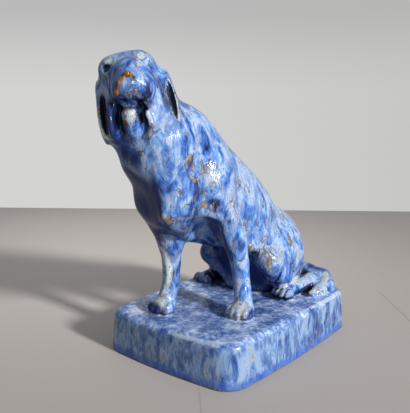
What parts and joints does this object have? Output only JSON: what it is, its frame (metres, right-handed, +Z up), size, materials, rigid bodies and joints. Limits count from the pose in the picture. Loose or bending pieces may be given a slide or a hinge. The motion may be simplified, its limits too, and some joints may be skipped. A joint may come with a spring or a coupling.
{
  "type": "dog figurine",
  "caption": "Glazed ceramic figurine of a sitting hound with its head turned, cast in one with a rounded rectangular plinth.",
  "frame": {"origin": "middle of the plinth's flat underside", "axes": "+Z up, the dog faces -Y and its left side is +X"},
  "size_m": [0.1224, 0.1881, 0.2083],
  "materials": {
    "glaze": "glossy mottled blue glaze with ochre breaks"
  },
  "bodies": {
    "root": {"hound_on_plinth": "glaze"}
  },
  "joints": []
}
